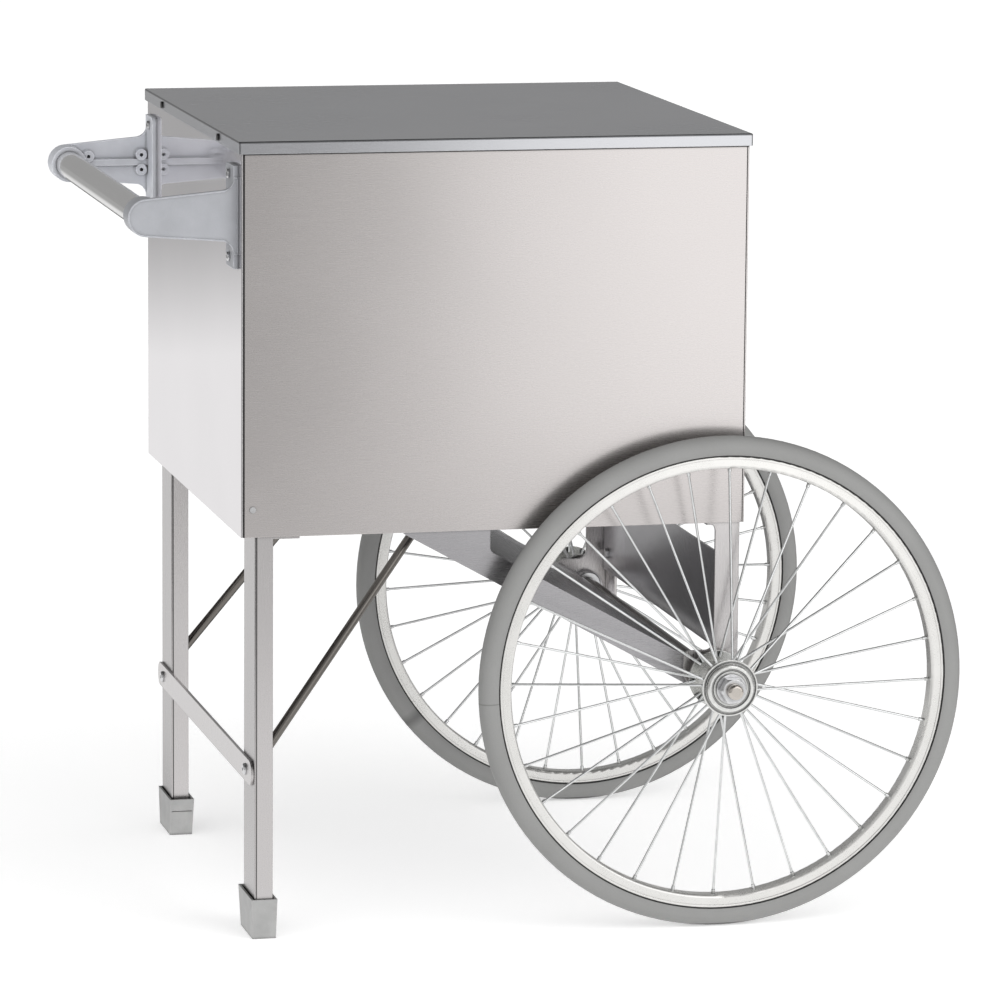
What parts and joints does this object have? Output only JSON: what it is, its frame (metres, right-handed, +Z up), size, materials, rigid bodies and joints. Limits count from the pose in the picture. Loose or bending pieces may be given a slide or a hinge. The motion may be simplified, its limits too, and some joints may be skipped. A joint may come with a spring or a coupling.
{
  "type": "popcorn machine cart",
  "caption": "Stainless sheet-metal cabinet cart with two large spoked wheels, two channel legs, a push handle and a rear door, made to carry a popcorn machine.",
  "frame": {"origin": "on the floor, under the centre of the whole cart's bounding box", "axes": "+Z up; +X from the handle end towards the wheels and the door; +Y the left-hand side of someone who holds the handle and looks along +X"},
  "size_m": [0.858, 0.721, 0.812],
  "materials": {
    "deck_steel": "fine brushed stainless sheet, grain along the length",
    "panel_steel": "brushed stainless sheet, grain along the length",
    "polished_steel": "mirror-polished stainless sheet",
    "inner_steel": "dull mill-finish steel sheet",
    "leg_steel": "brushed stainless, grain along the piece",
    "frame_steel": "polished dark steel plate",
    "axle_steel": "ground and polished steel bar",
    "foot_steel": "satin grey pressed steel",
    "handle_steel": "polished stainless tube",
    "cast_aluminium": "satin cast aluminium with bright rubbed edges",
    "hinge_steel": "bright rolled steel",
    "fastener_zinc": "bright zinc plate",
    "dark_screw": "blackened steel screw",
    "spoke_zinc": "bright zinc-plated wire",
    "hub_zinc": "bright zinc plate with turning marks",
    "rim_metal": "satin silver rolled rim",
    "tyre_rubber": "smooth mid-grey solid rubber",
    "knob_plastic": "black moulded plastic",
    "catch_plastic": "white moulded plastic"
  },
  "bodies": {
    "cart": {"top_deck": "deck_steel", "deck_screws": "dark_screw", "deck_stiffeners": "inner_steel", "handle_end_panel": "polished_steel", "door_frame_panel": "panel_steel", "side_rivets": "fastener_zinc", "cabinet_floor": "inner_steel", "floor_bolts": "fastener_zinc", "floor_nuts": "fastener_zinc", "door_catch": "catch_plastic", "hinge_frame_leaf": "hinge_steel", "hinge_pin": "hinge_steel", "handle_bar": "handle_steel", "bracket_screws": "fastener_zinc", "bracket_nuts": "fastener_zinc", "leg_strap": "leg_steel", "strap_bolts": "fastener_zinc", "strap_nuts": "fastener_zinc", "axle_brace": "frame_steel", "cross_plate": "frame_steel", "cross_plate_bolts": "fastener_zinc", "cross_plate_nuts": "fastener_zinc", "axle": "axle_steel", "axle_collars": "fastener_zinc", "wheel_spacers": "fastener_zinc", "wheel_washers": "fastener_zinc", "axle_nuts": "fastener_zinc", "right_side_panel": "panel_steel", "left_side_panel": "panel_steel", "right_handle_bracket": "cast_aluminium", "left_handle_bracket": "cast_aluminium", "right_leg": "leg_steel", "left_leg": "leg_steel", "right_foot": "foot_steel", "left_foot": "foot_steel", "right_leg_brace": "axle_steel", "left_leg_brace": "axle_steel", "right_rear_post": "leg_steel", "left_rear_post": "leg_steel"},
    "right_wheel": {"right_tyre": "tyre_rubber", "right_rim": "rim_metal", "right_hub": "hub_zinc", "right_spokes": "spoke_zinc", "right_nipples": "spoke_zinc", "right_bearings": "axle_steel", "right_dust_cap": "hub_zinc"},
    "left_wheel": {"left_tyre": "tyre_rubber", "left_rim": "rim_metal", "left_hub": "hub_zinc", "left_spokes": "spoke_zinc", "left_nipples": "spoke_zinc", "left_bearings": "axle_steel", "left_dust_cap": "hub_zinc"},
    "door": {"door_skin": "panel_steel", "door_liner": "inner_steel", "door_knob": "knob_plastic", "door_strike": "fastener_zinc", "hinge_door_leaf": "hinge_steel"}
  },
  "joints": [
    {"name": "right_wheel_spin", "type": "hinge", "parent": "cart", "child": "right_wheel", "pos_m": [0.175, -0.301, 0.254], "axis": [0, 1, 0], "continuous": true},
    {"name": "left_wheel_spin", "type": "hinge", "parent": "cart", "child": "left_wheel", "pos_m": [0.175, 0.301, 0.254], "axis": [0, 1, 0], "continuous": true},
    {"name": "door_swing", "type": "hinge", "parent": "cart", "child": "door", "pos_m": [0.2078, 0.234, 0.6075], "axis": [0, 0, 1], "range_deg": [0, 105]}
  ]
}
